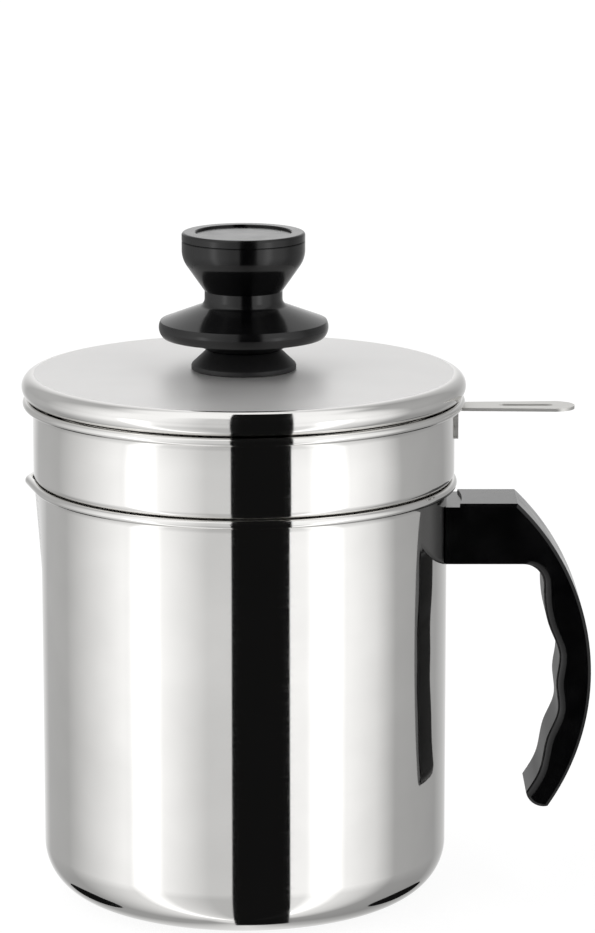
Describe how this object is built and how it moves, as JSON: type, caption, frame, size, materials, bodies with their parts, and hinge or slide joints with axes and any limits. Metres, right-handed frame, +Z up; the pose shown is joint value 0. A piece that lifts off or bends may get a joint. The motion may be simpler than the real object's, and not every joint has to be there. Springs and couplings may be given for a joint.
{
  "type": "bacon grease container",
  "caption": "Round steel grease pot with a curved black side handle, a drop-in strainer with a lift tab, and a flat lid with a black knob.",
  "frame": {"origin": "centre of the pot's flat base, on the table", "axes": "+Z up along the pot's axis, +X to the handle and the strainer's tab, -X to the pouring lip"},
  "size_m": [0.1821, 0.1416, 0.2145],
  "materials": {
    "pot_steel": "mirror polished outside, brushed inside",
    "strainer_steel": "mirror polished outside, brushed inside",
    "mesh_steel": "woven wire",
    "tab_steel": "polished strip",
    "lid_steel": "mirror polished",
    "hardware_steel": "bright zinc",
    "handle_bakelite": "glossy moulded bakelite",
    "knob_bakelite": "glossy moulded bakelite",
    "knob_foot_black": "matt moulded plastic",
    "insert_brass": "machined"
  },
  "bodies": {
    "pot": {"pot_shell": "pot_steel", "handle_bracket": "hardware_steel", "handle_nut": "hardware_steel", "handle_grip": "handle_bakelite", "handle_screw": "hardware_steel", "handle_lock_washer": "hardware_steel"},
    "strainer": {"strainer_shell": "strainer_steel", "strainer_mesh": "mesh_steel", "mesh_ring": "strainer_steel", "strainer_tab": "tab_steel"},
    "lid": {"lid_cover": "lid_steel", "lid_collar": "lid_steel", "knob_foot": "knob_foot_black", "knob_body": "knob_bakelite", "knob_cap": "knob_bakelite", "knob_insert": "insert_brass", "knob_washer": "hardware_steel", "knob_screw": "hardware_steel"}
  },
  "joints": [
    {"name": "strainer_lift", "type": "slide", "parent": "pot", "child": "strainer", "axis": [0, 0, 1], "range_m": [0, 0.0285]},
    {"name": "lid_lift", "type": "slide", "parent": "strainer", "child": "lid", "axis": [0, 0, 1], "range_m": [0, 0.0405]}
  ]
}
